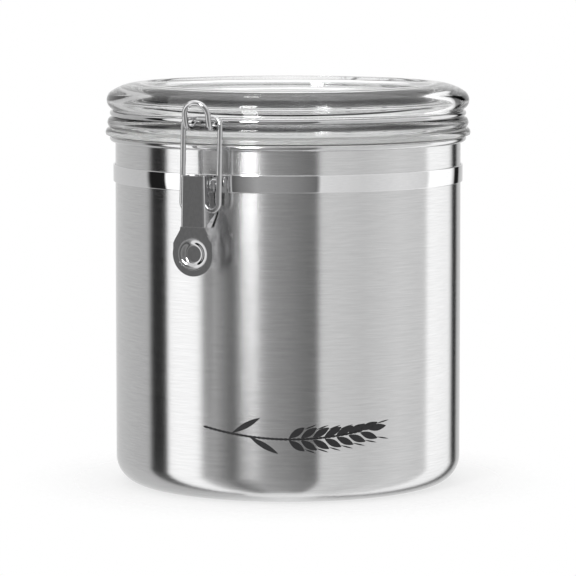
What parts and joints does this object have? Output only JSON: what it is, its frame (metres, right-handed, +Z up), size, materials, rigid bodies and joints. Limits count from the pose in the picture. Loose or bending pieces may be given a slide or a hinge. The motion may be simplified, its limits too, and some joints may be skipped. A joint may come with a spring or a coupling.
{
  "type": "kitchen storage canister",
  "caption": "Round brushed steel flour canister with a clear hinged lid, silicone seal, wire bail and over-centre clamp lever.",
  "frame": {"origin": "middle of the flat base, on the body's axis", "axes": "+Z up along the body's axis, clamp at -Y (front), lid hinge at +Y (back), +X to the right seen from the front"},
  "size_m": [0.19, 0.2144, 0.2082],
  "materials": {
    "body_steel": "brushed round the body",
    "polished_steel": "mirror polished",
    "lever_steel": "mirror polished pressing",
    "pin_steel": "satin",
    "wire_steel": "polished wire",
    "lid_acrylic": "clear and glossy",
    "gasket_silicone": "matte translucent white"
  },
  "bodies": {
    "canister": {"canister_body": "body_steel", "clamp_band": "polished_steel", "front_bracket": "polished_steel", "lever_pin": "pin_steel", "hinge_bracket": "polished_steel"},
    "lid_assembly": {"lid": "lid_acrylic", "lid_gasket": "gasket_silicone", "lid_wire": "wire_steel"},
    "lever": {"lever": "lever_steel"},
    "bail": {"bail": "wire_steel"}
  },
  "joints": [
    {"name": "lid_hinge", "type": "hinge", "parent": "canister", "child": "lid_assembly", "pos_m": [0, 0.1045, 0.178], "axis": [-1, 0, 0], "range_deg": [0, 105]},
    {"name": "lever_pivot", "type": "hinge", "parent": "canister", "child": "lever", "pos_m": [0, -0.1005, 0.162], "axis": [-1, 0, 0], "range_deg": [0, 110]},
    {"name": "bail_pivot", "type": "hinge", "parent": "lever", "child": "bail", "pos_m": [0, -0.099, 0.1487], "axis": [-1, 0, 0], "range_deg": [-88, 0]}
  ],
  "couplings": [
    {"joint": "bail_pivot", "follows": "lever_pivot", "ratio": -0.8}
  ]
}
